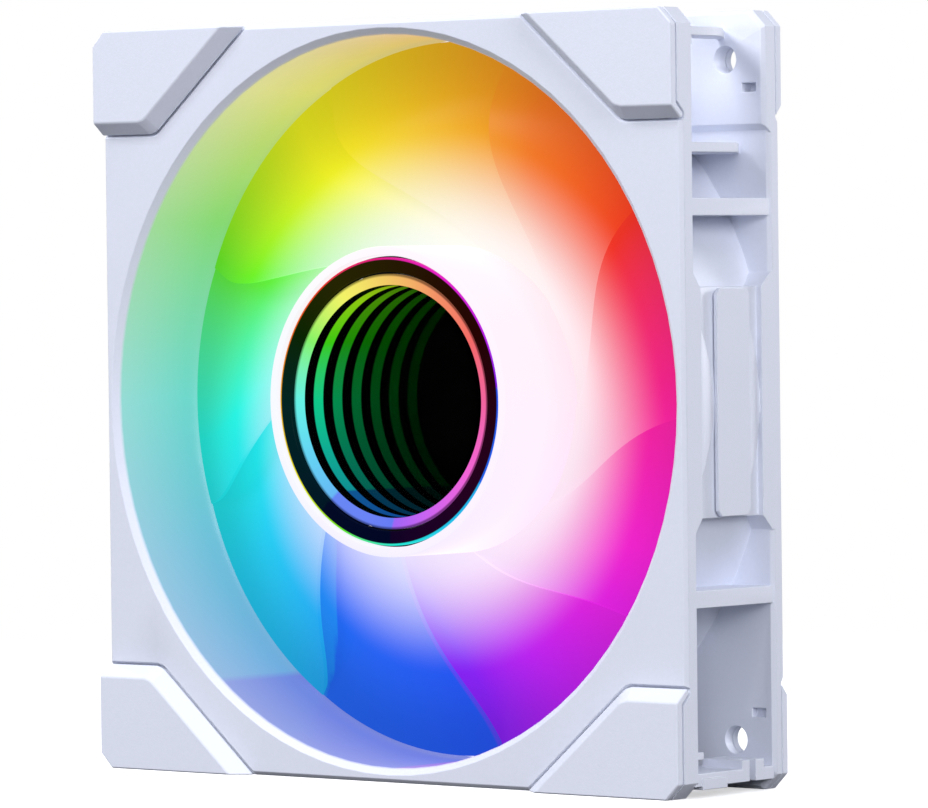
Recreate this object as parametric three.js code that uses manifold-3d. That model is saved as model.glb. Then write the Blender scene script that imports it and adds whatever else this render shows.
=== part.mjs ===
// A 120 mm computer case fan: a white frame with corner pads, a lit nine-blade impeller with an
// infinity mirror in its hub, and the motor behind it. Millimetres. The rotor turns about the Y axis,
// the air inlet faces -Y, +Z is up, and the origin is the centre of the fan on the rotor's axis.
import * as THREE from "three";
import { mergeVertices } from "three/addons/utils/BufferGeometryUtils.js";
import Module from "manifold-3d";

const wasm = await Module();
wasm.setup();

// ---------- driving dimensions ----------

const HALF = 60; // half of the square frame
const CORNER_CHAMFER = 2.45;
const PAD_FACE = 13.7; // pads' outer faces, in front and behind
const GAP = 0.3; // between pieces that touch
const SEAM = 0.2; // between a pad and the post under it

const FRAME_FRONT = -11.3;
const FRONT_FLANGE_REAR = -8.7;
const REAR_FLANGE_FRONT = 10.4;
const FRAME_REAR = 12.7;
const FLANGE_CHAMFER = 0.6; // round the front of each flange
const CORNER_PLATE_FRONT = 9.3; // an upper rear corner is thicker than the flange round it
const CORNER_PLATE_EDGE = 42.5;
const POST_TOP = 12.2; // how far from the middle the pads start, in front and behind

const BORE_R = 57.7;
const BORE_LIP_R = 58.8;
const BORE_LIP_DEPTH = 1.1;
const DUCT_R = 59.3; // outside of the duct wall
const BORE_SEGMENTS = 80;
const FINE_SEGMENTS = 48;
const SMALL_SEGMENTS = 32;

const SCREW_PITCH = 105;
const SCREW_R = 2.15;

const PAD_INNER_EDGE = 45.1; // where a front pad's face ends, along the frame's side
const PAD_BEND = 49.2; // where its inner edge turns to the diagonal
const PAD_DIAGONAL_END = 31.65; // where the diagonal reaches the frame's top or bottom

const RIB_NEAR = 28.45; // the full ribs on each side, from the side's middle
const RIB_FAR = 31.1;
const WINDOW_HALF = 17.6; // the closed middle of each side
const WINDOW_FLOOR = 59; // distance of its floor from the axis

const BLADES = 9;
const HUB_R = 24.5;
const HUB_INNER_R = 23.3;
const HUB_FRONT = -10.9;
const HUB_REAR = 8.3;
const BLADE_ROOT_R = 24;
const BLADE_TIP_R = 57;

const BEZEL_R = 22.7;
const BEZEL_FRONT = -10.4;
const LIGHT_RING_R = 20.1;
const CAVITY_R = 18.3; // inside of the light ring, the wall of the mirror cavity
const LENS_FRONT = -9.3;
const LENS_REAR = -8.4;
const BACK_MIRROR_FRONT = -3.8;

const YOKE_R = 17.3;
const YOKE_FRONT = -2.2;
const SHAFT_R = 1.5;
const SHAFT_REAR = 10.5;
const SLEEVE_BORE_R = 1.57;
const SLEEVE_R = 3.2;
const TUBE_R = 4.3;
const BASE_R = 24.3;
const BASE_FRONT = 10.4;

// ---------- materials ----------

const material = (color, roughness, metalness = 0) =>
  new THREE.MeshStandardMaterial({ color, roughness, metalness });

const framePlastic = material(0xe6eaf8, 0.55);
const padRubber = material(0xeaedfa, 0.8);
const milkyPlastic = material(0xf4f2ff, 0.4);
const diffuser = material(0xf0ff90, 0.5);
const blackPlastic = material(0x0a0a0c, 0.35);
const mirror = material(0x30303a, 0.05, 1);
const steel = material(0x9a9da3, 0.35, 0.9);
const ferrite = material(0x2b2b2e, 0.7);
const brass = material(0xc9a24a, 0.35, 0.9);
const bronze = material(0x9c6b3c, 0.5, 0.8);
const copper = material(0xb8642c, 0.35, 0.8);
const nylon = material(0xdedbcf, 0.6);
const boardMask = material(0xe6e8ec, 0.5);
const ledWhite = material(0xfafaf2, 0.4);

// ---------- solids ----------

// A manifold-3d solid of a closed geometry, turned to face out.
function solid(geometry) {
  const bare = geometry.clone();
  bare.deleteAttribute("normal");
  bare.deleteAttribute("uv");
  const merged = mergeVertices(bare, 1e-4);
  const triVerts = new Uint32Array(merged.index.array);
  const build = () =>
    new wasm.Manifold(
      new wasm.Mesh({
        numProp: 3,
        vertProperties: merged.attributes.position.array,
        triVerts,
      }),
    );
  const made = build();
  if (made.volume() > 0) return made;
  triVerts.reverse();
  return build();
}

function geometryOf(manifold) {
  const made = manifold.getMesh();
  return new THREE.BufferGeometry()
    .setAttribute("position", new THREE.BufferAttribute(made.vertProperties, 3))
    .setIndex(new THREE.BufferAttribute(made.triVerts, 1));
}

const join = (solids) => solids.reduce((whole, piece) => whole.add(piece));

// A box between two corners.
function block([x0, y0, z0], [x1, y1, z1]) {
  const box = new THREE.BoxGeometry(x1 - x0, y1 - y0, z1 - z0);
  return box.translate((x0 + x1) / 2, (y0 + y1) / 2, (z0 + z1) / 2);
}

// An outline in X and Z, thick from y0 to y1.
function plate(outline, y0, y1) {
  const shape = new THREE.Shape(outline);
  const extruded = new THREE.ExtrudeGeometry(shape, { depth: y1 - y0, bevelEnabled: false });
  return extruded.rotateX(Math.PI / 2).translate(0, y1, 0);
}

// An outline in Y and Z, thick from x0 to x1.
function sidePlate(outline, x0, x1) {
  const shape = new THREE.Shape(outline.map(([y, z]) => new THREE.Vector2(-z, y)));
  const extruded = new THREE.ExtrudeGeometry(shape, { depth: x1 - x0, bevelEnabled: false });
  return extruded.rotateY(Math.PI / 2).translate(x0, 0, 0);
}

// A closed profile of [radius, y] points, turned about the Y axis.
function turned(profile, segments = SMALL_SEGMENTS) {
  const points = [...profile, profile[0]].map(([r, y]) => new THREE.Vector2(r, y));
  return new THREE.LatheGeometry(points, segments);
}

const tube = (inner, outer, y0, y1, segments) =>
  turned(
    [
      [inner, y0],
      [outer, y0],
      [outer, y1],
      [inner, y1],
    ],
    segments,
  );

function disc(radius, y0, y1, segments = SMALL_SEGMENTS) {
  const cylinder = new THREE.CylinderGeometry(radius, radius, y1 - y0, segments);
  return cylinder.translate(0, (y0 + y1) / 2, 0);
}

// A closed solid through rings of points with the same count, with flat ends.
// flat turns an end's point into the 2-D point that its triangles are found from.
function loft(rings, flat = (p) => new THREE.Vector2(p.x, p.z)) {
  const count = rings[0].length;
  const index = [];
  for (let k = 0; k + 1 < rings.length; k++)
    for (let i = 0; i < count; i++) {
      const a = k * count + i;
      const b = k * count + ((i + 1) % count);
      index.push(a, b, b + count, a, b + count, a + count);
    }
  const cap = (ring, first, turn) => {
    const contour = ring.map(flat);
    const clockwise = THREE.ShapeUtils.isClockWise(contour);
    const order = ring.map((_, i) => (clockwise ? ring.length - 1 - i : i));
    const triangles = THREE.ShapeUtils.triangulateShape(
      order.map((i) => contour[i]),
      [],
    );
    for (const [a, b, c] of triangles) {
      const corners = [order[a], order[b], order[c]].map((i) => first + i);
      index.push(...(turn === clockwise ? corners : corners.reverse()));
    }
  };
  cap(rings[0], 0, true);
  cap(rings.at(-1), (rings.length - 1) * count, false);
  return new THREE.BufferGeometry()
    .setFromPoints(rings.flat())
    .setIndex(index);
}

// Mirrors a geometry to the corner or side with these signs of X and Z.
const mirrored = (geometry, signX, signZ) => geometry.clone().scale(signX, 1, signZ);

// The solids of a geometry in the +X +Z corner and its mirrored copies, in CORNER_NAMES' order.
const fourCorners = (geometry) =>
  [
    [1, 1],
    [-1, 1],
    [-1, -1],
    [1, -1],
  ].map(([x, z]) => solid(mirrored(geometry, x, z)));

const quarterTurns = (geometry) =>
  [0, 1, 2, 3].map((k) => solid(geometry.clone().rotateY((k * Math.PI) / 2)));

// ---------- outlines ----------

const square = (half, chamfer) => {
  const near = half - chamfer;
  const corners = [
    [half, near],
    [near, half],
    [-near, half],
    [-half, near],
    [-half, -near],
    [-near, -half],
    [near, -half],
    [half, -near],
  ];
  return corners.map(([x, z]) => new THREE.Vector2(x, z));
};

const circle = (radius, segments, x = 0, z = 0) =>
  new THREE.EllipseCurve(x, z, radius, radius).getPoints(segments).slice(0, -1);

// The outline of a corner pad in the +X +Z corner, its inner edges moved out by offset, and its
// outer edges moved past the frame's faces when it is for a cutting tool.
function padRing(y, offset, past = 0) {
  const run = PAD_BEND - PAD_DIAGONAL_END;
  const rise = HALF - PAD_INNER_EDGE;
  const slant = Math.hypot(run, rise);
  const edge = PAD_INNER_EDGE - offset;
  const bend = PAD_BEND - (offset * (slant - run)) / rise;
  const end = PAD_DIAGONAL_END - (offset * slant + past * run) / rise;
  const outer = HALF + past;
  const near = outer - CORNER_CHAMFER;
  const outline = [
    [outer, edge],
    [bend + 0.9, edge],
    [bend - 0.2, edge + 0.3],
    [bend - 0.9, edge + 0.75],
    [end, outer],
    [near, outer],
    [outer, near],
  ];
  return outline.map(([x, z]) => new THREE.Vector3(x, y, z));
}

// ---------- frame ----------

// The post under a front pad's face.
const cornerPost = () =>
  loft([padRing(FRONT_FLANGE_REAR, 1.1), padRing(-10.5, 1.1), padRing(-POST_TOP, -0.65)]);

// A square flange, chamfered round its front.
function flange(front, rear) {
  const ring = (y, half) =>
    square(half, CORNER_CHAMFER).map(({ x, y: z }) => new THREE.Vector3(x, y, z));
  return loft([
    ring(front, HALF - FLANGE_CHAMFER),
    ring(front + FLANGE_CHAMFER, HALF),
    ring(rear, HALF),
  ]);
}

// The square plate that thickens an upper rear corner, its lower and inner edges sloped.
function cornerPlate() {
  const ring = (y, outer, edge) => {
    const near = outer - CORNER_CHAMFER;
    const outline = [
      [outer, edge],
      [edge, edge],
      [edge, outer],
      [near, outer],
      [outer, near],
    ];
    return outline.map(([x, z]) => new THREE.Vector3(x, y, z));
  };
  return loft([
    ring(CORNER_PLATE_FRONT, HALF - FLANGE_CHAMFER, CORNER_PLATE_EDGE),
    ring(CORNER_PLATE_FRONT + FLANGE_CHAMFER, HALF, CORNER_PLATE_EDGE - 0.5),
    ring(REAR_FLANGE_FRONT + FLANGE_CHAMFER, HALF, CORNER_PLATE_EDGE - 1.4),
  ]);
}

// The recesses that the pads' feet sit in.
function padRecesses() {
  const front = loft([padRing(FRAME_FRONT - 1, 3, 1), padRing(-10.5, 1.95, 1)]);
  const rear = loft([padRing(POST_TOP, 1.55, 1), padRing(FRAME_REAR + 0.5, 3.25, 1)]);
  return [front, rear];
}

function sideMiddle() {
  const taper = 19.8;
  const frontLip = [
    [FRAME_FRONT + FLANGE_CHAMFER, -taper],
    [FRAME_FRONT + FLANGE_CHAMFER, taper],
    [FRONT_FLANGE_REAR, taper],
    [-6.9, WINDOW_HALF - 0.2],
    [-6.9, -WINDOW_HALF + 0.2],
    [FRONT_FLANGE_REAR, -taper],
  ];
  const rearLip = [
    [FRAME_REAR - 0.5, -taper],
    [REAR_FLANGE_FRONT, -taper],
    [8.1, -WINDOW_HALF],
    [8.1, WINDOW_HALF],
    [REAR_FLANGE_FRONT, taper],
    [FRAME_REAR - 0.5, taper],
  ];
  const floor = block(
    [55, FRAME_FRONT + 0.5, -WINDOW_HALF],
    [WINDOW_FLOOR, FRAME_REAR - 0.5, WINDOW_HALF],
  );
  return [sidePlate(frontLip, 55, HALF), sidePlate(rearLip, 55, HALF), floor];
}

// A shallow raised crescent on the window floor, from a straight edge to an arc behind it.
function crescent(edge, crown) {
  const half = 12.5;
  const steps = 8;
  const arc = Array.from({ length: steps + 1 }, (_, i) => {
    const t = (2 * i) / steps - 1;
    return [edge + (crown - edge) * (1 - t * t), t * half];
  });
  return sidePlate(arc, WINDOW_FLOOR - 1, WINDOW_FLOOR + 0.5);
}

function fullRib(sign) {
  const z = [RIB_NEAR, RIB_FAR].map((v) => v * sign).sort((a, b) => a - b);
  return block([49.8, FRONT_FLANGE_REAR - 0.5, z[0]], [HALF, REAR_FLANGE_FRONT, z[1]]);
}

// A level plate beside an upper corner, given by its outline in X and Y.
function levelPlate(outline, z0, z1) {
  const shape = new THREE.Shape(outline.map(([x, y]) => new THREE.Vector2(x, y)));
  const extruded = new THREE.ExtrudeGeometry(shape, { depth: z1 - z0, bevelEnabled: false });
  return extruded.translate(0, 0, z0);
}

// The cut rib, the shelf with its rounded end and the nub under it, beside an upper corner.
function upperDetails() {
  const front = FRONT_FLANGE_REAR - 0.5;
  const rear = REAR_FLANGE_FRONT + 0.5;
  const cutRib = levelPlate(
    [
      [44, front],
      [HALF, front],
      [HALF, 2.5],
      [53.8, rear],
      [44, rear],
    ],
    38.05,
    39.6,
  );
  const shelf = levelPlate(
    [
      [51, front],
      [HALF, front],
      [HALF, -3.6],
      [59.4, -0.7],
      [57.9, 1.9],
      [52.1, CORNER_PLATE_FRONT + 0.4],
      [51, CORNER_PLATE_FRONT + 0.4],
    ],
    55.7,
    57.05,
  );
  const nub = block([57, front, 54.4], [59.6, -7.9, 56]);
  return [cutRib, shelf, nub, cornerPlate()];
}

const lowerNub = () => block([57, FRONT_FLANGE_REAR - 0.5, -54.1], [59.6, -6.8, -53]);

// The clip that holds the fan's lead in the lower right corner, with its slit.
function wireClip() {
  const shelf = block([50, FRONT_FLANGE_REAR - 0.5, -58.2], [59.8, REAR_FLANGE_FRONT, -56.2]);
  const hook = block([52, 2.4, -57], [59.8, 7.9, -54.9]);
  const foot = block([55, -7.6, -58.7], [HALF, -1.5, -57]);
  const slit = block([57, 4.3, -60], [61, 5.8, -54]);
  return join([shelf, hook, foot].map(solid)).subtract(solid(slit));
}

const SLOT_X = [55.7, 58.4];
const SLOT_Z = [47.45, 48.85];

const screwHole = () =>
  plate(circle(SCREW_R, 24, SCREW_PITCH / 2, SCREW_PITCH / 2), -PAD_FACE - 1, PAD_FACE + 1);

// The small slot in the side of each rear corner.
const cornerSlot = () => block([SLOT_X[0], 9, SLOT_Z[0]], [SLOT_X[1], 11.6, SLOT_Z[1]]);

// A curved arm from the motor base to the duct, seen from the front.
function strutOutline(startAngle, width) {
  const sweep = THREE.MathUtils.degToRad(17);
  const [from, to] = [BASE_R - 1.5, BORE_R + 0.8];
  const steps = 8;
  const middle = Array.from({ length: steps + 1 }, (_, i) => {
    const r = from + ((to - from) * i) / steps;
    const angle = startAngle + sweep * Math.sin((i / steps) * (Math.PI / 2));
    return new THREE.Vector2(r * Math.cos(angle), r * Math.sin(angle));
  });
  const offset = (side) =>
    middle.map((p, i) => {
      const ahead = middle[Math.min(i + 1, steps)].clone().sub(middle[Math.max(i - 1, 0)]);
      return p.clone().add(new THREE.Vector2(-ahead.y, ahead.x).setLength((side * width) / 2));
    });
  return [...offset(-1), ...offset(1).reverse()];
}

const STRUT_WIDTH = 3.2;
const WIRE_STRUT_WIDTH = 7;
const WIRE_GROOVE_WIDTH = 4;
const STRUT_START = THREE.MathUtils.degToRad(-54); // the wire strut; the others follow by quarter turns
const STRUT_FRONT = 9.9;
const LABEL_R = 21;

function motorBase() {
  const strut = (k) => {
    const width = k === 0 ? WIRE_STRUT_WIDTH : STRUT_WIDTH;
    const outline = strutOutline(STRUT_START + (k * Math.PI) / 2, width);
    return solid(plate(outline, STRUT_FRONT, FRAME_REAR));
  };
  const base = solid(
    turned(
      [
        [0, 11.6],
        [4.6, 11.6],
        [4.6, 10],
        [6.5, 10],
        [6.5, BASE_FRONT],
        [BASE_R - 1.2, BASE_FRONT],
        [BASE_R - 1.2, 9],
        [BASE_R, 9],
        [BASE_R, FRAME_REAR],
        [LABEL_R, FRAME_REAR],
        [LABEL_R, 12.2],
        [0, 12.2],
      ],
      FINE_SEGMENTS,
    ),
  );
  const groove = solid(plate(strutOutline(STRUT_START, WIRE_GROOVE_WIDTH), 11.4, FRAME_REAR + 1));
  const core = solid(disc(BASE_R - 1.3, 8, 20, FINE_SEGMENTS));
  return join([0, 1, 2, 3].map(strut)).subtract(groove).subtract(core).add(base);
}

function frame() {
  const flanges = [
    flange(FRAME_FRONT, FRONT_FLANGE_REAR),
    flange(REAR_FLANGE_FRONT, FRAME_REAR),
    tube(BORE_R - 1, DUCT_R, FRAME_FRONT + 0.5, FRAME_REAR - 0.5, BORE_SEGMENTS),
  ].map(solid);
  const sides = [...sideMiddle(), crescent(-7, -3.4), crescent(5.4, 8.2), fullRib(1), fullRib(-1)];
  const posts = join(fourCorners(cornerPost()));
  const [frontRecesses, rearRecesses] = padRecesses().map((recess) => join(fourCorners(recess)));
  const details = [1, -1].flatMap((x) => [
    ...upperDetails().map((g) => solid(mirrored(g, x, 1))),
    solid(mirrored(lowerNub(), x, 1)),
  ]);
  const bore = solid(
    turned(
      [
        [0, FRAME_FRONT - 1],
        [BORE_LIP_R + 1, FRAME_FRONT - 1],
        [BORE_LIP_R, FRAME_FRONT],
        [BORE_R, FRAME_FRONT + BORE_LIP_DEPTH],
        [BORE_R, FRAME_REAR + 1],
        [0, FRAME_REAR + 1],
      ],
      BORE_SEGMENTS,
    ),
  );
  const shell = join([...flanges, ...sides.flatMap(quarterTurns), ...details, wireClip()])
    .subtract(frontRecesses)
    .add(posts)
    .subtract(rearRecesses);
  const holes = [screwHole(), cornerSlot()].flatMap(fourCorners);
  return shell.subtract(bore).add(motorBase()).subtract(join(holes));
}

// ---------- corner pads ----------

function frontPads() {
  const body = loft([
    padRing(-10.8, 1.65),
    padRing(FRAME_FRONT, 2.05),
    padRing(-PAD_FACE, 0),
  ]);
  const hollow = fourCorners(
    loft([
      padRing(-10, 1.1 + 1.4 * SEAM, 1),
      padRing(-10.5, 1.1 + 1.4 * SEAM, 1),
      padRing(-POST_TOP - SEAM, -0.65 + 1.4 * SEAM, 1),
    ]),
  );
  return fourCorners(body).map((pad, i) => pad.subtract(hollow[i]));
}

function rearPads() {
  const body = loft([padRing(POST_TOP + SEAM, 1.25), padRing(PAD_FACE, -0.25)]);
  const screws = fourCorners(screwHole());
  return fourCorners(body).map((pad, i) => pad.subtract(screws[i]));
}

// ---------- impeller ----------

// How far along its length a blade's section at this radius is, from 0 at the hub to 1 at the tip.
const alongBlade = (r) => (r - BLADE_ROOT_R) / (BLADE_TIP_R - BLADE_ROOT_R);

// How far a blade is scooped at this radius: most at half its length, nothing at the hub and the tip.
const scoop = (r) => Math.pow(Math.sin(Math.PI * alongBlade(r)), 1.3);

// Angle of the leading edge, in degrees from +X towards +Z: it bends back towards the hub.
const leadingAngle = (r) => -82 - 31 * Math.pow(Math.max(0, 56 - r) / 28.3, 2.6);

const bladeSpan = (r) => 47 + 5 * scoop(r); // degrees, leading to trailing edge
const trailingDepth = (r) => 7.5 + 0.9 * alongBlade(r);
const leadingDepth = (r) => trailingDepth(r) - 0.5 - 6.3 * scoop(r);
const bladeThickness = 1.3;

// A blade's section at radius r: a closed ring of points, along the front face and back behind it.
function bladeSection(r) {
  const steps = 8;
  const front = [];
  const back = [];
  for (let i = 0; i <= steps; i++) {
    const u = i / steps;
    const angle = THREE.MathUtils.degToRad(leadingAngle(r) - u * bladeSpan(r));
    const depth = THREE.MathUtils.lerp(leadingDepth(r), trailingDepth(r), 0.6 * u + 0.4 * u * u);
    const fullness = Math.sqrt(Math.sin(Math.PI * (0.06 + 0.88 * u)));
    const half = (bladeThickness / 2) * (0.35 + 0.65 * fullness);
    const [x, z] = [r * Math.cos(angle), r * Math.sin(angle)];
    front.push(new THREE.Vector3(x, depth - half, z));
    back.push(new THREE.Vector3(x, depth + half, z));
  }
  return [...front, ...back.reverse()];
}

function blade() {
  const stations = 6;
  const radii = Array.from({ length: stations + 1 }, (_, i) =>
    THREE.MathUtils.lerp(BLADE_ROOT_R, BLADE_TIP_R, i / stations),
  );
  const unrolled = (p) => {
    const angle = Math.atan2(p.z, p.x);
    return new THREE.Vector2((angle > 0 ? angle - 2 * Math.PI : angle) * BLADE_TIP_R, p.y);
  };
  return loft(radii.map(bladeSection), unrolled);
}

function impeller() {
  const hub = solid(
    turned(
      [
        [HUB_R - 0.4, HUB_FRONT],
        [HUB_R, HUB_FRONT + 0.4],
        [HUB_R, HUB_REAR],
        [HUB_INNER_R, HUB_REAR],
        [HUB_INNER_R, -0.8],
        [18.7, -0.8],
        [18.7, 5],
        [YOKE_R + 0.4, 5],
        [YOKE_R + 0.4, -2],
        [HUB_INNER_R, -2],
        [HUB_INNER_R, -8.5],
        [20.5, -8.5],
        [20.5, -9.3],
        [BEZEL_R + GAP, -9.3],
        [BEZEL_R + GAP, HUB_FRONT],
      ],
      FINE_SEGMENTS,
    ),
  );
  const first = blade();
  const blades = Array.from({ length: BLADES }, (_, k) =>
    solid(first.clone().rotateY((k * 2 * Math.PI) / BLADES)),
  );
  return blades.reduce((whole, piece) => whole.add(piece), hub);
}

const lightRing = () =>
  turned(
    [
      [LIGHT_RING_R, -10],
      [LIGHT_RING_R, -2.4],
      [CAVITY_R, -2.4],
      [CAVITY_R, LENS_FRONT],
    ],
    FINE_SEGMENTS,
  );

const bezel = () =>
  turned(
    [
      [LIGHT_RING_R + GAP, BEZEL_FRONT + 0.1],
      [LIGHT_RING_R + GAP + 0.2, BEZEL_FRONT],
      [BEZEL_R, BEZEL_FRONT],
      [BEZEL_R, -9.6],
      [LIGHT_RING_R + GAP, -9.6],
    ],
    FINE_SEGMENTS,
  );

// ---------- motor ----------

const yoke = () =>
  turned([
    [SHAFT_R + GAP, YOKE_FRONT],
    [YOKE_R, YOKE_FRONT],
    [YOKE_R, 7.6],
    [YOKE_R - 1, 7.6],
    [YOKE_R - 1, YOKE_FRONT + 0.9],
    [SHAFT_R + GAP, YOKE_FRONT + 0.9],
  ]);

const CLIP_GROOVE = [9.5, 10];
const CLIP_GROOVE_R = 1.1;

const shaft = () =>
  turned([
    [0, -2.1],
    [SHAFT_R, -2.1],
    [SHAFT_R, CLIP_GROOVE[0]],
    [CLIP_GROOVE_R, CLIP_GROOVE[0]],
    [CLIP_GROOVE_R, CLIP_GROOVE[1]],
    [SHAFT_R, CLIP_GROOVE[1]],
    [SHAFT_R, SHAFT_REAR - 0.3],
    [SHAFT_R - 0.5, SHAFT_REAR],
    [0, SHAFT_REAR],
  ]);

const POLES = 4;
const POLE_NECK_HALF = 1.4;
const CORE_R = 13.9;

// A four-pole star round the bearing tube: a ring, necks, and shoes out to the given radius.
function star(y0, y1, shoeInner, shoeOuter, neckHalf) {
  const ring = solid(tube(TUBE_R + GAP, 6.6, y0, y1));
  const shoeShape = new THREE.Shape();
  const spread = THREE.MathUtils.degToRad(32);
  shoeShape.absarc(0, 0, shoeOuter, -spread, spread, false);
  shoeShape.absarc(0, 0, shoeInner, spread, -spread, true);
  const shoe = plate(shoeShape.getPoints(3), y0, y1);
  const neck = block([6, y0, -neckHalf], [shoeInner + 0.6, y1, neckHalf]);
  return join([ring, ...quarterTurns(neck), ...quarterTurns(shoe)]);
}

// A coil round one pole's neck, along +X.
function coil() {
  const rounded = (halfZ, y0, y1, radius) => {
    const path = new THREE.Path();
    const corners = [
      [-halfZ + radius, y0 + radius, Math.PI],
      [halfZ - radius, y0 + radius, 1.5 * Math.PI],
      [halfZ - radius, y1 - radius, 0],
      [-halfZ + radius, y1 - radius, 0.5 * Math.PI],
    ];
    for (const [cx, cy, start] of corners) path.absarc(cx, cy, radius, start, start + Math.PI / 2);
    return path.getPoints(2);
  };
  const shape = new THREE.Shape(rounded(3.5, -0.9, 7.1, 1.6));
  shape.holes = [new THREE.Path(rounded(POLE_NECK_HALF + 0.3, 0.1, 6.1, 0.3))];
  const length = 3.2;
  const winding = new THREE.ExtrudeGeometry(shape, { depth: length, bevelEnabled: false });
  return winding.rotateY(Math.PI / 2).translate(7.3, 0, 0);
}

const LED_COUNT = 8;
const LED_PITCH_R = 20.8;
const LED_HALF = 1.6;

const LED_FRONT = 7.8;
const LED_REAR = 8.6;

const led = () =>
  block([LED_PITCH_R - LED_HALF, LED_FRONT, -LED_HALF], [LED_PITCH_R + LED_HALF, LED_REAR, LED_HALF]);

// ---------- the assembly ----------

const fan = new THREE.Group();

function put(group, name, shape, look, angle = 0) {
  const mesh = new THREE.Mesh(shape.isBufferGeometry ? shape : geometryOf(shape), look);
  mesh.name = name;
  mesh.rotation.y = angle;
  group.add(mesh);
}

const CORNER_NAMES = ["top_right", "top_left", "bottom_left", "bottom_right"];

const body = new THREE.Group();
fan.add(body);
put(body, "frame", frame(), framePlastic);
frontPads().forEach((pad, i) => put(body, "front_pad_" + CORNER_NAMES[i], pad, padRubber));
rearPads().forEach((pad, i) => put(body, "rear_pad_" + CORNER_NAMES[i], pad, padRubber));

// The blank plate in the middle of a side, its corners cut.
function sideBadge() {
  const [front, rear, half, cut] = [-3, 5.1, WINDOW_HALF - 0.2, 0.9];
  const outline = [
    [front, -half + cut],
    [front + cut, -half],
    [rear - cut, -half],
    [rear, -half + cut],
    [rear, half - cut],
    [rear - cut, half],
    [front + cut, half],
    [front, half - cut],
  ];
  return sidePlate(outline, WINDOW_FLOOR + GAP, HALF);
}

put(body, "side_plate_right", sideBadge(), framePlastic);
put(body, "side_plate_left", sideBadge(), framePlastic, Math.PI);

const motor = new THREE.Group();
fan.add(motor);
put(motor, "bearing_tube", tube(3.5, TUBE_R, -0.6, 11.3), brass);
put(motor, "bearing_sleeve", tube(SLEEVE_BORE_R, SLEEVE_R, 0, 9.3), bronze);
put(motor, "oil_seal", tube(1.9, SLEEVE_R, -0.6, -0.3), nylon);
put(motor, "thrust_pad", disc(SLEEVE_R, 10.8, 11.3), nylon);
put(motor, "stator_core", star(1.2, 5, 11.4, CORE_R, POLE_NECK_HALF), steel);
put(motor, "winding_former_front", star(0.4, 0.9, 11.4, CORE_R - 0.8, POLE_NECK_HALF), nylon);
put(motor, "winding_former_rear", star(5.3, 5.8, 11.4, CORE_R - 0.8, POLE_NECK_HALF), nylon);
for (let k = 0; k < POLES; k++) put(motor, "coil_" + (k + 1), coil(), copper, (k * Math.PI) / 2);
put(motor, "motor_board", tube(5, 22.4, 8.9, 9.7, FINE_SEGMENTS), boardMask);
put(motor, "driver_chip", block([8, 7.9, 8], [12, 8.6, 11]), blackPlastic);
for (let k = 0; k < LED_COUNT; k++)
  put(motor, "led_" + (k + 1), led(), ledWhite, ((k + 0.5) * 2 * Math.PI) / LED_COUNT);
put(motor, "rear_cover_disc", disc(LABEL_R - 0.4, 12.4, 12.65, FINE_SEGMENTS), framePlastic);

const rotor = new THREE.Group();
fan.add(rotor);
put(rotor, "impeller", impeller(), milkyPlastic);
put(rotor, "light_ring", lightRing(), diffuser);
put(rotor, "lens_bezel", bezel(), blackPlastic);
put(rotor, "mirror_lens", disc(CAVITY_R - GAP, LENS_FRONT, LENS_REAR, FINE_SEGMENTS), mirror);
put(rotor, "back_mirror", disc(CAVITY_R - GAP, BACK_MIRROR_FRONT, -2.6, FINE_SEGMENTS), mirror);
put(rotor, "rotor_yoke", yoke(), steel);
put(rotor, "ring_magnet", tube(14.6, YOKE_R - 1 - GAP, 0.4, 6.8), ferrite);
put(rotor, "shaft", shaft(), steel);
put(rotor, "shaft_clip", tube(1.3, 2.6, 9.62, 9.88), steel);

export default fan;
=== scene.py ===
"""The looks of a 120 mm case fan: white moulded frame, soft corner pads, a lit nine-blade rotor
and the infinity mirror in its hub. Metres; the rotor turns about Y and the air inlet faces -Y."""

import colorsys
import math

import bmesh
import bpy
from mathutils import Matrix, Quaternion, Vector


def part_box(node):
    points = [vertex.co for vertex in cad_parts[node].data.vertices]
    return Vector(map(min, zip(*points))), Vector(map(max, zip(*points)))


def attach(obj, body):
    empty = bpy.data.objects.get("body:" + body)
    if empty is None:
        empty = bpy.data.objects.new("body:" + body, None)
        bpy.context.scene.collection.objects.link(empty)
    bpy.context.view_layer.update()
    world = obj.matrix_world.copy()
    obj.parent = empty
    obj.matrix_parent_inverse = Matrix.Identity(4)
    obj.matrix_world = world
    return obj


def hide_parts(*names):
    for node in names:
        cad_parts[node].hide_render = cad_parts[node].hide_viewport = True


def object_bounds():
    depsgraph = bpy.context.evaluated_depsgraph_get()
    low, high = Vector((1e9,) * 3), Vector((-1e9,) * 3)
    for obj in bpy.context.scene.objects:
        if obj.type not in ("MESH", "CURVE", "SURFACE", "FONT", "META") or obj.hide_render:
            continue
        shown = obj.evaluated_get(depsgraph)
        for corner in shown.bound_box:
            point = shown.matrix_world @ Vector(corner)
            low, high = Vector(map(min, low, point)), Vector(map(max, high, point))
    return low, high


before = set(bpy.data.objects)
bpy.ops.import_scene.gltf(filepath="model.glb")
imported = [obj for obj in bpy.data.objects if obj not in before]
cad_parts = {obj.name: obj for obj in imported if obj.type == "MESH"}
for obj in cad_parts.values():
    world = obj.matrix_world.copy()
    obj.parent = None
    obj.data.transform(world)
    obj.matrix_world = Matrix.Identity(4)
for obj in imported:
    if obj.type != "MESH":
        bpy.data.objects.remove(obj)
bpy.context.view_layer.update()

MM = 0.001

# ---------- view ----------

AZIMUTH = math.radians(40.17)
ELEVATION = math.radians(1.25)
ROLL = math.radians(-0.65)
DISTANCE = 0.976
LENS_MM = 239.8
SENSOR_MM = 36.0
AIM = Vector((6.97 * MM, 0.0, -0.58 * MM))


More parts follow.
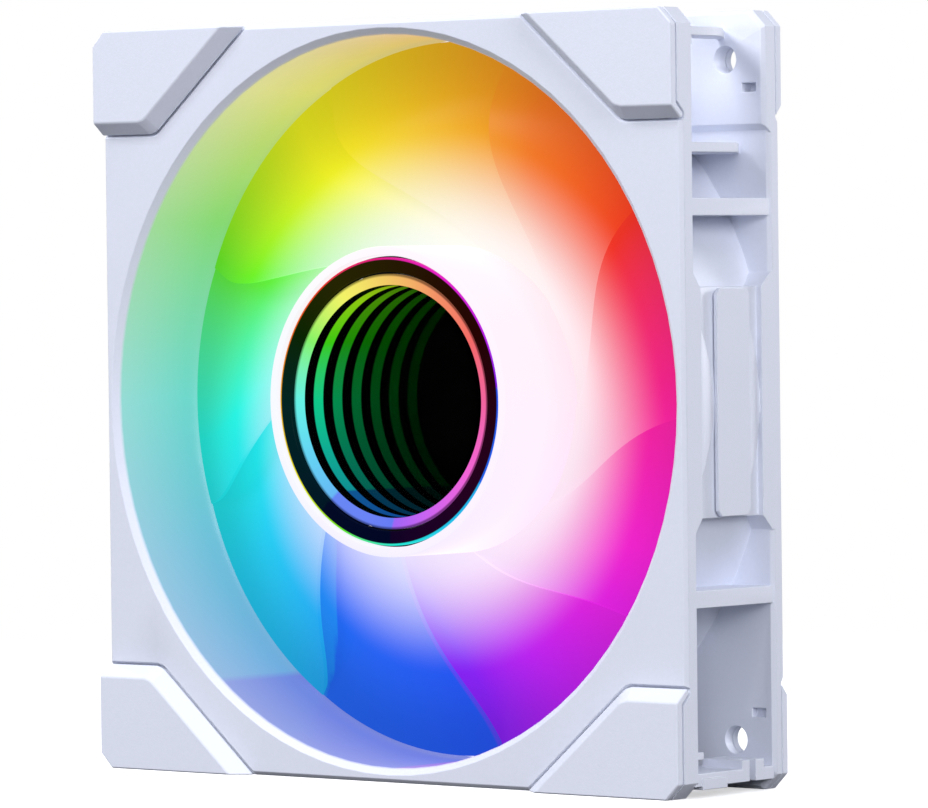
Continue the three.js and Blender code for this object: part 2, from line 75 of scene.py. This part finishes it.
def direction(azimuth, elevation):
    """From the fan towards a viewer: azimuth 0 is straight in front, +90 degrees is the +X side."""
    flat = math.cos(elevation)
    return Vector((math.sin(azimuth) * flat, -math.cos(azimuth) * flat, math.sin(elevation)))


def add_camera():
    data = bpy.data.cameras.new("camera")
    data.lens = LENS_MM
    data.sensor_width = SENSOR_MM
    data.clip_end = 20.0
    camera = bpy.data.objects.new("camera", data)
    bpy.context.scene.collection.objects.link(camera)
    back = direction(AZIMUTH, ELEVATION)
    camera.location = AIM + back * DISTANCE
    camera.rotation_mode = "QUATERNION"
    camera.rotation_quaternion = back.to_track_quat("Z", "Y")
    camera.rotation_quaternion.rotate(Quaternion(back, ROLL))
    bpy.context.scene.camera = camera


# ---------- materials: helpers ----------


def linear_channels(channels):
    """The linear colour of three sRGB channels."""
    return [c / 12.92 if c <= 0.04045 else ((c + 0.055) / 1.055) ** 2.4 for c in channels] + [1.0]


def linear(code):
    """The linear colour of a hex sRGB code."""
    return linear_channels([int(code[i : i + 2], 16) / 255 for i in (0, 2, 4)])


class Look:
    """A procedural material and the nodes that feed it."""

    def __init__(self, name, color, roughness=0.5, metallic=0.0, specular=0.5):
        self.material = bpy.data.materials.new(name)
        self.material.use_nodes = True
        self.tree = self.material.node_tree
        self.shader = self.tree.nodes["Principled BSDF"]
        self.set("Base Color", linear(color) if isinstance(color, str) else color)
        self.set("Roughness", roughness)
        self.set("Metallic", metallic)
        self.set("Specular IOR Level", specular)

    def node(self, kind, inputs=(), **settings):
        made = self.tree.nodes.new("ShaderNode" + kind)
        for name, value in settings.items():
            setattr(made, name, value)
        for socket, value in dict(inputs).items():
            self.feed(made.inputs[socket], value)
        return made

    def feed(self, socket, value):
        if isinstance(value, bpy.types.NodeSocket):
            self.tree.links.new(value, socket)
        else:
            socket.default_value = value

    def set(self, socket, value):
        self.feed(self.shader.inputs[socket], value)

    def math(self, operation, a, b=0.0, clamp=False):
        made = self.node("Math", {0: a, 1: b}, operation=operation, use_clamp=clamp)
        return made.outputs[0]

    def spread(self, value, low, high, to_low=0.0, to_high=1.0, smooth=True):
        """value mapped from low..high to to_low..to_high, held at both ends."""
        made = self.node(
            "MapRange",
            {"Value": value, "From Min": low, "From Max": high, "To Min": to_low, "To Max": to_high},
            interpolation_type="SMOOTHSTEP" if smooth else "LINEAR",
        )
        return made.outputs[0]

    def mix(self, factor, a, b, blend="MIX"):
        made = self.node("Mix", {0: factor}, data_type="RGBA", blend_type=blend)
        self.feed(made.inputs[6], a)
        self.feed(made.inputs[7], b)
        return made.outputs[2]

    def place(self):
        """The x, y and z of the point in the object's own space."""
        coordinates = self.node("TexCoord").outputs["Object"]
        return self.node("SeparateXYZ", {0: coordinates}).outputs

    def radius(self):
        x, _, z = self.place()
        squares = self.math("ADD", self.math("MULTIPLY", x, x), self.math("MULTIPLY", z, z))
        return self.math("SQRT", squares)

    def around(self, turned_back=0.0):
        """0 to 1 once round the axis, from +X through +Z, less a turn in degrees."""
        x, _, z = self.place()
        angle = self.math("DIVIDE", self.math("ARCTAN2", z, x), 2 * math.pi)
        back = self.math("DIVIDE", turned_back, 360.0)
        return self.math("FRACT", self.math("ADD", self.math("SUBTRACT", angle, back), 2.0))

    def wheel(self, factor):
        """The lights' colour round the axis, from a factor that goes once from 0 to 1."""
        ramp = self.node("ValToRGB", {0: factor})
        band = ramp.color_ramp
        closed = list(LED_HUES) + [(360, LED_HUES[0][1])]
        while len(band.elements) < len(closed):
            band.elements.new(0.5)
        for element, (degrees, _) in zip(band.elements, closed):
            element.position = degrees / 360
        for element, (_, hue) in zip(band.elements, closed):
            channels = colorsys.hsv_to_rgb(hue / 360, LED_SATURATION, LED_BRIGHTNESS)
            element.color = linear_channels(channels)
        return ramp.outputs[0]

    def noise(self, size, detail=3.0, roughness=0.5):
        """Soft noise whose lumps are about size metres across."""
        coordinates = self.node("TexCoord").outputs["Object"]
        settings = {"Vector": coordinates, "Scale": 1 / size, "Detail": detail, "Roughness": roughness}
        return self.node("TexNoise", settings).outputs[0]

    def grain(self, size, height, strength=1.0):
        """A fine moulded grain, as bump."""
        bump = self.node(
            "Bump", {"Height": self.noise(size), "Distance": height, "Strength": strength}
        )
        self.set("Normal", bump.outputs[0])

    def glow(self, color, strength=1.0):
        self.set("Emission Color", color)
        self.set("Emission Strength", strength)


# ---------- materials: plastics ----------

FRAME_WHITE = "e9edf9"
PAD_WHITE = "eaeefa"
BORE_R = 57.7 * MM


def moulded_white(name, code, roughness, grain_size, grain_height):
    """White moulded plastic: fine grain, and gloss that varies a little."""
    look = Look(name, code, roughness, specular=0.4)
    cloudy = look.noise(9 * MM, 2.0)
    look.set("Roughness", look.spread(cloudy, 0.3, 0.7, roughness - 0.05, roughness + 0.06))
    fine = look.noise(0.5 * MM, 2.0)
    dim = [c * 0.985 for c in linear(code)[:3]] + [1.0]
    look.set("Base Color", look.mix(look.spread(fine, 0.35, 0.65), dim, linear(code)))
    look.grain(grain_size, grain_height)
    return look


def frame_look():
    """White plastic, with the rotor's light painted on the duct's wall as a glow of the wall itself.
    """
    look = moulded_white("frame_plastic", FRAME_WHITE, 0.46, 0.22 * MM, 0.012 * MM)
    plain = look.shader.inputs["Base Color"].links[0].from_socket
    # Painted light: past the lip, the duct's wall glows in the rotor's hues, paler towards the front,
    # and its base colour is darkened to a small part of that glow.
    _, depth, _ = look.place()
    hue = look.wheel(look.around())
    painted_glow_paleness = look.spread(depth, -9.5 * MM, 5 * MM, 0.4, 0.22, smooth=False)
    glow = look.mix(1.0, look.mix(painted_glow_paleness, hue, linear(PALE)), [0.72] * 3 + [1.0], "MULTIPLY")
    r = look.radius()
    inside = look.spread(r, BORE_R - 0.6 * MM, BORE_R - 0.4 * MM)
    outside = look.spread(r, BORE_R + 0.1 * MM, BORE_R + 0.3 * MM, 1.0, 0.0)
    on_wall = look.math("MULTIPLY", inside, outside)
    past_lip = look.spread(depth, -10.6 * MM, -9.9 * MM)
    weight = look.math("MULTIPLY", on_wall, past_lip)
    painted_glow_base = look.mix(1.0, glow, [GLOW_ALBEDO] * 3 + [1.0], "MULTIPLY")
    look.set("Base Color", look.mix(weight, plain, painted_glow_base))
    look.glow(glow, look.math("MULTIPLY", weight, 1 - GLOW_ALBEDO / 2))
    return look


def pad_look():
    return moulded_white("pad_rubber", PAD_WHITE, 0.62, 0.3 * MM, 0.02 * MM)


# ---------- materials: light ----------

# Hues chosen in degrees of the colour wheel, at angles round the axis from +X through +Z.
# The lowest blade is blue between a sea-blue and a violet one, so the hue jumps at the leading
# edges of the two lowest blades, which are at these angles at the middle of their sweep.
BLUE_FROM = 231
BLUE_TO = 271
LED_HUES = [
    (0, 330),  # hot pink
    (30, 5),  # coral
    (60, 25),  # orange
    (90, 45),  # amber
    (120, 60),  # yellow
    (150, 100),  # light green
    (180, 175),  # teal
    (205, 190),  # cyan
    (BLUE_FROM - 0.4, 200),  # sea blue
    (BLUE_FROM + 0.4, 220),  # blue
    (BLUE_TO - 0.4, 225),
    (BLUE_TO + 0.4, 270),  # violet
    (290, 285),  # purple
    (325, 310),  # magenta
]
LED_SATURATION = 0.85
LED_BRIGHTNESS = 0.95
PALE = "faf6ff"
BLACK = [0.0, 0.0, 0.0, 1.0]
GLOW_ALBEDO = 0.12  # how much of a painted glow's colour a surface keeps as its base colour, for the room's light
RIM_GLOW_TURN = 95  # degrees that the painted glow on the bezel's rim lags behind the ring


def blade_look():
    """Milky plastic lit from the hub, its light painted on as a glow of the plastic: saturated towards
    the tips, nearly white at the hub.
    """
    look = Look("milky_plastic", "000000", 0.32, specular=0.05)
    shift = look.node("Attribute", attribute_name="shift").outputs["Fac"]
    hue = look.wheel(look.around(shift))
    r = look.radius()
    # Painted light: the glow goes pale towards the hub.
    painted_glow_paleness = look.spread(r, 24 * MM, 44 * MM, 0.85, 0.0)
    # Painted shade: the glow's hue darkens towards the tips.
    shade = look.spread(r, 38 * MM, 57 * MM, 1.0, 0.5)
    shaded = look.mix(shade, look.mix(1.0, hue, [0.4] * 3 + [1.0], "MULTIPLY"), hue)
    blades = look.mix(painted_glow_paleness, shaded, linear(PALE))
    _, depth, _ = look.place()
    # Painted light: the hub's side glows nearly white, palest at its front.
    painted_hub_paleness = look.spread(depth, -1 * MM, 8 * MM, 0.94, 0.8, smooth=False)
    hub = look.mix(painted_hub_paleness, hue, linear(PALE))
    past_hub = look.spread(r, (HUB_R + 0.02) * MM, (HUB_R + 0.1) * MM)
    past_bezel = look.spread(r, 22.85 * MM, 22.95 * MM)
    lit = look.mix(past_bezel, BLACK, look.mix(past_hub, hub, blades))
    # The base colour is darkened to a small part of the painted glow, which the plastic gives off as
    # light.
    look.set("Base Color", look.mix(1.0, lit, [GLOW_ALBEDO] * 3 + [1.0], "MULTIPLY"))
    look.glow(lit, 1 - GLOW_ALBEDO / 2)
    look.grain(0.6 * MM, 0.004 * MM)
    return look


def band_weight(look, depth, middle, half):
    """1 inside a band of depths, falling to 0 over a short way at both its sides."""
    away = look.math("ABSOLUTE", look.math("SUBTRACT", depth, middle))
    return look.spread(away, half - 0.15 * MM, half + 0.1 * MM, 1.0, 0.0)


def diffuser_look():
    """The light ring: its chamfered front glows, and inside it a strip that the mirrors repeat."""
    look = Look("diffuser", "020202", 0.35, specular=0.02)
    angle = look.around()
    hue = look.wheel(angle)
    ring = look.mix(0.12, hue, linear(PALE))
    strip = look.mix(1.0, hue, [0.35, 0.8, 0.4, 1.0], "MULTIPLY")
    _, depth, _ = look.place()
    in_front = look.spread(depth, LENS_FRONT - 0.04 * MM, LENS_FRONT - 0.02 * MM, 1.0, 0.0)
    banded = band_weight(look, depth, STRIP_MIDDLE, STRIP_HALF)
    weight = look.math("MAXIMUM", in_front, banded)
    outer_edge = look.spread(look.radius(), 19.6 * MM, 20.0 * MM, 1.0, 0.3)
    look.glow(look.mix(in_front, strip, ring), look.math("MULTIPLY", weight, outer_edge))
    return look


def bezel_look():
    """Gloss black, with a faint painted glow of the ring beside it, and a thin painted glow at its
    rim.
    """
    look = Look("black_plastic", "000000", 0.3, specular=0.02)
    angle = look.around()
    # Painted light: the ring's light spilt on the black face, a faint glow in the ring's hue.
    painted_ring_spill = look.mix(1.0, look.wheel(angle), [0.02] * 3 + [1.0], "MULTIPLY")
    # Painted glow along the rim, in the ring's colours turned back round the axis.
    painted_rim_glow = look.wheel(look.around(RIM_GLOW_TURN))
    rim = look.spread(look.radius(), 22.3 * MM, 22.45 * MM)
    look.glow(look.mix(rim, painted_ring_spill, painted_rim_glow), look.spread(rim, 0.0, 1.0, 1.0, 0.9))
    return look


def back_mirror_look():
    look = Look("mirror", "86b092", 0.02, metallic=1.0)
    look.set("Roughness", look.spread(look.noise(3 * MM), 0.3, 0.7, 0.0, 0.012))
    return look


def lens_look():
    """A two-way mirror: seen through from outside, a mirror for the light inside the hub."""
    look = Look("two_way_mirror", "101012", 0.05)
    facing_in = look.node("NewGeometry").outputs["Backfacing"]
    _, depth, _ = look.place()
    inner_face = look.spread(depth, LENS_REAR - 0.05 * MM, LENS_REAR - 0.03 * MM)
    mirrored = look.math("MULTIPLY", inner_face, look.math("SUBTRACT", 1.0, facing_in))
    clear = look.node("BsdfTransparent", {"Color": linear("f4f4f4")})
    shine = look.node("BsdfGlossy", {"Color": linear("ffffff"), "Roughness": 0.03})
    outside = look.node("MixShader", {0: 0.0015})
    look.tree.links.new(clear.outputs[0], outside.inputs[1])
    look.tree.links.new(shine.outputs[0], outside.inputs[2])
    inside = look.node("BsdfGlossy", {"Color": linear("90b89c"), "Roughness": 0.0})
    whole = look.node("MixShader", {0: mirrored})
    look.tree.links.new(outside.outputs[0], whole.inputs[1])
    look.tree.links.new(inside.outputs[0], whole.inputs[2])
    output = look.tree.nodes["Material Output"]
    look.tree.links.new(whole.outputs[0], output.inputs["Surface"])
    return look


# ---------- materials: the motor inside ----------

FINE_MARKS = 900.0  # the scale of the tool marks and of the wire's turns

def turned_metal(name, code, roughness):
    """Turned metal: rings of fine tool marks round the axis."""
    look = Look(name, code, roughness, metallic=1.0)
    coordinates = look.node("TexCoord").outputs["Object"]
    marks = look.node(
        "TexWave",
        {"Vector": coordinates, "Scale": FINE_MARKS, "Distortion": 1.5, "Detail": 2.0},
        wave_type="RINGS",
        rings_direction="Y",
    )
    bump = look.node("Bump", {"Height": marks.outputs[1], "Distance": 0.004 * MM, "Strength": 0.5})
    look.set("Normal", bump.outputs[0])
    look.set("Roughness", look.spread(look.noise(2 * MM), 0.3, 0.7, roughness - 0.08, roughness + 0.1))
    return look


def sintered(name, code, roughness, metallic):
    """Pressed powder: a dull, speckled grain."""
    look = Look(name, code, roughness, metallic)
    speckle = look.spread(look.noise(0.25 * MM, 4.0, 0.7), 0.4, 0.65)
    dark = [c * 0.7 for c in linear(code)[:3]] + [1.0]
    look.set("Base Color", look.mix(speckle, dark, linear(code)))
    look.grain(0.2 * MM, 0.02 * MM)
    return look


def copper_look():
    """Enamelled wire, wound round the poles: a fine ribbing along the depth, with painted shade in the
    grooves between the turns.
    """
    look = Look("copper", "b5652f", 0.3, metallic=1.0)
    coordinates = look.node("TexCoord").outputs["Object"]
    turns = look.node(
        "TexWave",
        {"Vector": coordinates, "Scale": FINE_MARKS, "Distortion": 0.6},
        bands_direction="DIAGONAL",
    )
    bump = look.node("Bump", {"Height": turns.outputs[1], "Distance": 0.06 * MM, "Strength": 0.8})
    look.set("Normal", bump.outputs[0])
    # Painted shade: darker copper in the grooves between the turns, lighter on their crests.
    look.set("Base Color", look.mix(turns.outputs[1], linear("7a3c18"), linear("c9793c")))
    return look


def led_look():
    look = Look("led", "f8f8f2", 0.25)
    spot = look.spread(look.noise(0.8 * MM), 0.35, 0.7, 0.4, 1.0)
    look.glow(linear("fffdf5"), spot)
    return look


# ---------- meshes: helpers ----------


def new_object(name, mesh, look):
    made = bpy.data.objects.new(name, mesh)
    bpy.context.scene.collection.objects.link(made)
    mesh.materials.clear()
    mesh.materials.append(look.material)
    return made


def smooth(mesh, degrees=30):
    mesh.polygons.foreach_set("use_smooth", [True] * len(mesh.polygons))
    mesh.set_sharp_from_angle(angle=math.radians(degrees))


def rounded_copy(node, body, look, width, segments=3):
    """Stands for a CAD node: its flat faces merged, its sharp edges rounded off."""
    mesh = bmesh.new()
    mesh.from_mesh(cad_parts[node].data)
    bmesh.ops.remove_doubles(mesh, verts=mesh.verts, dist=0.002 * MM)
    bmesh.ops.dissolve_limit(
        mesh, angle_limit=math.radians(0.6), verts=mesh.verts, edges=mesh.edges
    )
    out = bpy.data.meshes.new(node + "_shell")
    mesh.to_mesh(out)
    mesh.free()
    smooth(out)
    made = new_object(node + "_shell", out, look)
    edges = made.modifiers.new("rounded edges", "BEVEL")
    edges.limit_method = "ANGLE"
    edges.angle_limit = math.radians(30)
    edges.width = width
    edges.segments = segments
    edges.use_clamp_overlap = False
    edges.harden_normals = True
    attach(made, body)
    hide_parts(node)
    return made


def lathe(name, profile, look, segments=160):
    """A closed profile of (radius, y) points in metres, turned about Y. Radius 0 closes at a pole."""
    mesh = bmesh.new()
    rings = []
    for r, y in profile:
        if r == 0:
            rings.append([mesh.verts.new((0, y, 0))])
            continue
        turn = [2 * math.pi * k / segments for k in range(segments)]
        rings.append([mesh.verts.new((r * math.cos(a), y, r * math.sin(a))) for a in turn])
    pairs = list(zip(rings, rings[1:])) + [(rings[-1], rings[0])]
    for first, second in pairs:
        if len(first) == 1 and len(second) == 1:
            continue
        for k in range(segments):
            after = (k + 1) % segments
            corners = [first[k % len(first)], first[after % len(first)]]
            corners += [second[after % len(second)], second[k % len(second)]]
            mesh.faces.new(dict.fromkeys(corners))
    bmesh.ops.recalc_face_normals(mesh, faces=mesh.faces)
    out = bpy.data.meshes.new(name)
    mesh.to_mesh(out)
    mesh.free()
    smooth(out)
    return new_object(name, out, look)


def stand_for(made, body, slot, *nodes):
    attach(made, body)
    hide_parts(*nodes)


# ---------- the rotor ----------

BLADES = 9
BLADE_ROOT = 24.0
BLADE_TIP = 57.0
BLADE_THICKNESS = 1.3
HUB_R = 24.5
HUB_INNER_R = 23.3
LENS_FRONT = -9.3 * MM
LENS_REAR = -8.4 * MM
BACK_MIRROR_FRONT = -3.8 * MM
STRIP_MIDDLE = (LENS_REAR + BACK_MIRROR_FRONT) / 2
STRIP_HALF = 1.15 * MM
SWEEP_MIDDLE_R = 40.0


def along_blade(r):
    return (r - BLADE_ROOT) / (BLADE_TIP - BLADE_ROOT)


def scoop(r):
    """How far a blade is scooped: most at half its length, nothing at the hub and the tip."""
    return max(0.0, math.sin(math.pi * along_blade(r))) ** 1.3


def leading_angle(r):
    """Degrees from +X towards +Z."""
    return -82 - 31 * (max(0.0, 56 - r) / 28.3) ** 2.6


def blade_span(r):
    return 47 + 5 * scoop(r)


def trailing_depth(r):
    return 7.5 + 0.9 * along_blade(r)


def leading_depth(r):
    return trailing_depth(r) - 0.5 - 6.3 * scoop(r)


def blade_half_thickness(u):
    fullness = math.sqrt(math.sin(math.pi * (0.06 + 0.88 * u)))
    return BLADE_THICKNESS / 2 * (0.35 + 0.65 * fullness)


def blade_section(r, steps, blade):
    """A closed ring at radius r, the front face from the leading edge and then the back: each point,
    and how many degrees its hue lies from its own angle."""
    front = []
    back = []
    for i in range(steps + 1):
        u = i / steps
        degrees = leading_angle(r) - u * blade_span(r) + 360 * blade / BLADES
        rise = 0.6 * u + 0.4 * u * u
        depth = leading_depth(r) + (trailing_depth(r) - leading_depth(r)) * rise
        half = blade_half_thickness(u)
        x = r * math.cos(math.radians(degrees))
        z = r * math.sin(math.radians(degrees))
        # The hue goes by the sweep of the leading edge and stays inside the blade's own sector.
        behind = -u * blade_span(r)
        in_sector = min(max(behind, 0.5 - 360 / BLADES), -0.5)
        shift = leading_angle(r) - leading_angle(SWEEP_MIDDLE_R) + behind - in_sector
        front.append(((x, depth - half, z), shift))
        back.append(((x, depth + half, z), shift))
    return front + back[::-1]


def impeller():
    look = blade_look()
    hub = lathe(
        "impeller_hub",
        [
            (r * MM, y * MM)
            for r, y in [
                (23.0, -10.75),
                (23.15, -10.9),
                (24.1, -10.9),
                (24.4, -10.78),
                (HUB_R, -10.5),
                (HUB_R, 8.0),
                (24.3, 8.3),
                (HUB_INNER_R, 8.3),
                (HUB_INNER_R, -0.8),
                (18.7, -0.8),
                (18.7, 5.0),
                (17.7, 5.0),
                (17.7, -2.0),
                (HUB_INNER_R, -2.0),
                (HUB_INNER_R, -8.5),
                (20.5, -8.5),
                (20.5, -9.3),
                (23.0, -9.3),
            ]
        ],
        look,
    )
    mesh = bmesh.new()
    mesh.from_mesh(hub.data)
    shift = mesh.verts.layers.float.new("shift")
    stations = 26
    steps = 26
    for blade in range(BLADES):
        rings = []
        for i in range(stations + 1):
            r = BLADE_ROOT + (BLADE_TIP - BLADE_ROOT) * i / stations
            ring = []
            for point, degrees in blade_section(r, steps, blade):
                vertex = mesh.verts.new([c * MM for c in point])
                vertex[shift] = degrees
                ring.append(vertex)
            rings.append(ring)
        count = len(rings[0])
        for inner, outer in zip(rings, rings[1:]):
            for k in range(count):
                after = (k + 1) % count
                mesh.faces.new((inner[k], inner[after], outer[after], outer[k]))
        mesh.faces.new(rings[0][::-1])
        mesh.faces.new(rings[-1])
    bmesh.ops.recalc_face_normals(mesh, faces=mesh.faces)
    out = bpy.data.meshes.new("impeller_lit")
    mesh.to_mesh(out)
    mesh.free()
    smooth(out, 40)
    bpy.data.objects.remove(hub)
    made = new_object("impeller_lit", out, look)
    stand_for(made, "rotor", "milky_plastic", "impeller")


def light_ring():
    profile = [(20.1, -9.9), (20.0, -10.0), (18.35, -9.33), (18.3, -9.28), (18.3, -2.4), (20.1, -2.4)]
    made = lathe("light_ring_lit", [(r * MM, y * MM) for r, y in profile], diffuser_look())
    stand_for(made, "rotor", "diffuser", "light_ring")


def bezel():
    profile = [(20.4, -10.3), (20.5, -10.4), (22.6, -10.4), (22.7, -10.3), (22.7, -9.6), (20.4, -9.6)]
    made = lathe("bezel_ring", [(r * MM, y * MM) for r, y in profile], bezel_look())
    stand_for(made, "rotor", "black_plastic", "lens_bezel")


def mirrors():
    r = 18.29 * MM
    lens = lathe(
        "lens_disc",
        [(0, LENS_FRONT), (r, LENS_FRONT), (r, LENS_REAR), (0, LENS_REAR)],
        lens_look(),
    )
    stand_for(lens, "rotor", "two_way_mirror", "mirror_lens")
    rear = -2.6 * MM
    back = lathe(
        "mirror_disc",
        [(0, BACK_MIRROR_FRONT), (r, BACK_MIRROR_FRONT), (r, rear), (0, rear)],
        back_mirror_look(),
    )
    stand_for(back, "rotor", "mirror", "back_mirror")


# ---------- the housing ----------


def housing():
    plastic = frame_look()
    rubber = pad_look()
    rounded_copy("frame", "housing", plastic, 0.12 * MM, 2)
    for side in ("right", "left"):
        rounded_copy("side_plate_" + side, "housing", plastic, 0.15 * MM)
    for corner in ("top_right", "top_left", "bottom_left", "bottom_right"):
        rounded_copy("front_pad_" + corner, "housing", rubber, 0.3 * MM)
        rounded_copy("rear_pad_" + corner, "housing", rubber, 0.15 * MM)
    low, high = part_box("rear_cover_disc")
    r = high.x
    cover = lathe(
        "rear_cover_label",
        [(0, low.y), (r, low.y), (r, high.y - 0.08 * MM), (r - 0.1 * MM, high.y), (0, high.y)],
        moulded_white("cover_film", "e4e7ee", 0.4, 1.0 * MM, 0.004 * MM),
    )
    stand_for(cover, "housing", "frame_plastic", "rear_cover_disc")


def dress(look, *nodes):
    """Gives carried-over CAD nodes their material."""
    for node in nodes:
        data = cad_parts[node].data
        data.materials.clear()
        data.materials.append(look.material)
        smooth(data)


def motor():
    steel = turned_metal("steel", "9c9ea3", 0.32)
    dress(steel, "rotor_yoke", "shaft", "shaft_clip")
    dress(sintered("laminations", "7c7d80", 0.45, 0.9), "stator_core")
    dress(sintered("ferrite", "2e2e30", 0.75, 0.1), "ring_magnet")
    dress(turned_metal("brass", "c8a457", 0.3), "bearing_tube")
    dress(sintered("bronze", "9a6b40", 0.45, 0.9), "bearing_sleeve")
    nylon = moulded_white("nylon", "dcd9cc", 0.5, 0.3 * MM, 0.01 * MM)
    dress(nylon, "oil_seal", "thrust_pad", "winding_former_front", "winding_former_rear")
    dress(copper_look(), *["coil_%d" % k for k in range(1, 5)])
    dress(moulded_white("board", "e6e8ec", 0.35, 0.15 * MM, 0.01 * MM), "motor_board")
    dress(moulded_white("chip", "16161a", 0.5, 0.1 * MM, 0.01 * MM), "driver_chip")
    dress(led_look(), *["led_%d" % k for k in range(1, 9)])


# ---------- stage and light ----------


FLOOR_SOLID_TO = 0.1  # metres from the middle of the floor
FLOOR_GONE_FROM = 0.4


def add_floor():
    """A pale floor that fades into the backdrop, brighter to the camera than to the fan above it."""
    mesh = bpy.data.meshes.new("floor")
    half = 4.0
    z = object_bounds()[0][2]
    corners = [(-half, -half, z), (half, -half, z), (half, half, z), (-half, half, z)]
    mesh.from_pydata(corners, [], [(0, 1, 2, 3)])
    look = Look("floor", "ffffff", 0.9, specular=0.0)
    seen = look.node("LightPath").outputs["Is Camera Ray"]
    look.set("Base Color", look.mix(seen, [0.15, 0.15, 0.15, 1.0], [0.95, 0.95, 0.95, 1.0]))
    look.glow([1.0, 1.0, 1.0, 1.0], look.math("MULTIPLY", seen, 0.55))
    x, y, _ = look.place()
    squares = look.math("ADD", look.math("MULTIPLY", x, x), look.math("MULTIPLY", y, y))
    from_middle = look.math("SQRT", squares)
    look.set("Alpha", look.spread(from_middle, FLOOR_SOLID_TO, FLOOR_GONE_FROM, 1.0, 0.0))
    new_object("floor", mesh, look)


def add_world():
    world = bpy.data.worlds.new("studio")
    bpy.context.scene.world = world
    world.use_nodes = True
    nodes = world.node_tree.nodes
    links = world.node_tree.links
    light = nodes["Background"]
    light.inputs["Color"].default_value = linear("f4f6ff")
    light.inputs["Strength"].default_value = 0.15
    backdrop = nodes.new("ShaderNodeBackground")
    backdrop.inputs["Color"].default_value = linear("ffffff")
    seen = nodes.new("ShaderNodeLightPath")
    either = nodes.new("ShaderNodeMixShader")
    links.new(seen.outputs["Is Camera Ray"], either.inputs[0])
    links.new(light.outputs[0], either.inputs[1])
    links.new(backdrop.outputs[0], either.inputs[2])
    links.new(either.outputs[0], nodes["World Output"].inputs["Surface"])


def add_light(name, azimuth, elevation, distance, size, watts, code="ffffff"):
    data = bpy.data.lights.new(name, "AREA")
    data.shape = "DISK"
    data.size = size
    data.energy = watts
    data.color = linear(code)[:3]
    lamp = bpy.data.objects.new(name, data)
    bpy.context.scene.collection.objects.link(lamp)
    back = direction(math.radians(azimuth), math.radians(elevation))
    lamp.location = back * distance
    lamp.rotation_mode = "QUATERNION"
    lamp.rotation_quaternion = back.to_track_quat("Z", "Y")


def add_lights():
    add_light("key", -30, 42, 1.2, 0.6, 11.6, "f8f9ff")
    add_light("front right", 42, 15, 1.2, 0.45, 3.0, "f8f9ff")
    add_light("side", 75, 15, 1.2, 0.45, 4.5, "f8f9ff")
    add_light("above right", 60, 45, 1.2, 0.45, 2.0, "f8f9ff")
    add_light("rear right", 160, 15, 1.2, 0.45, 6.0, "f8f9ff")
    add_light("left", -115, 30, 1.2, 0.7, 6.0, "f8f9ff")


# ---------- build ----------

bpy.context.scene.view_settings.view_transform = "Standard"
add_camera()
add_floor()
add_world()
add_lights()
housing()
motor()
impeller()
light_ring()
bezel()
mirrors()
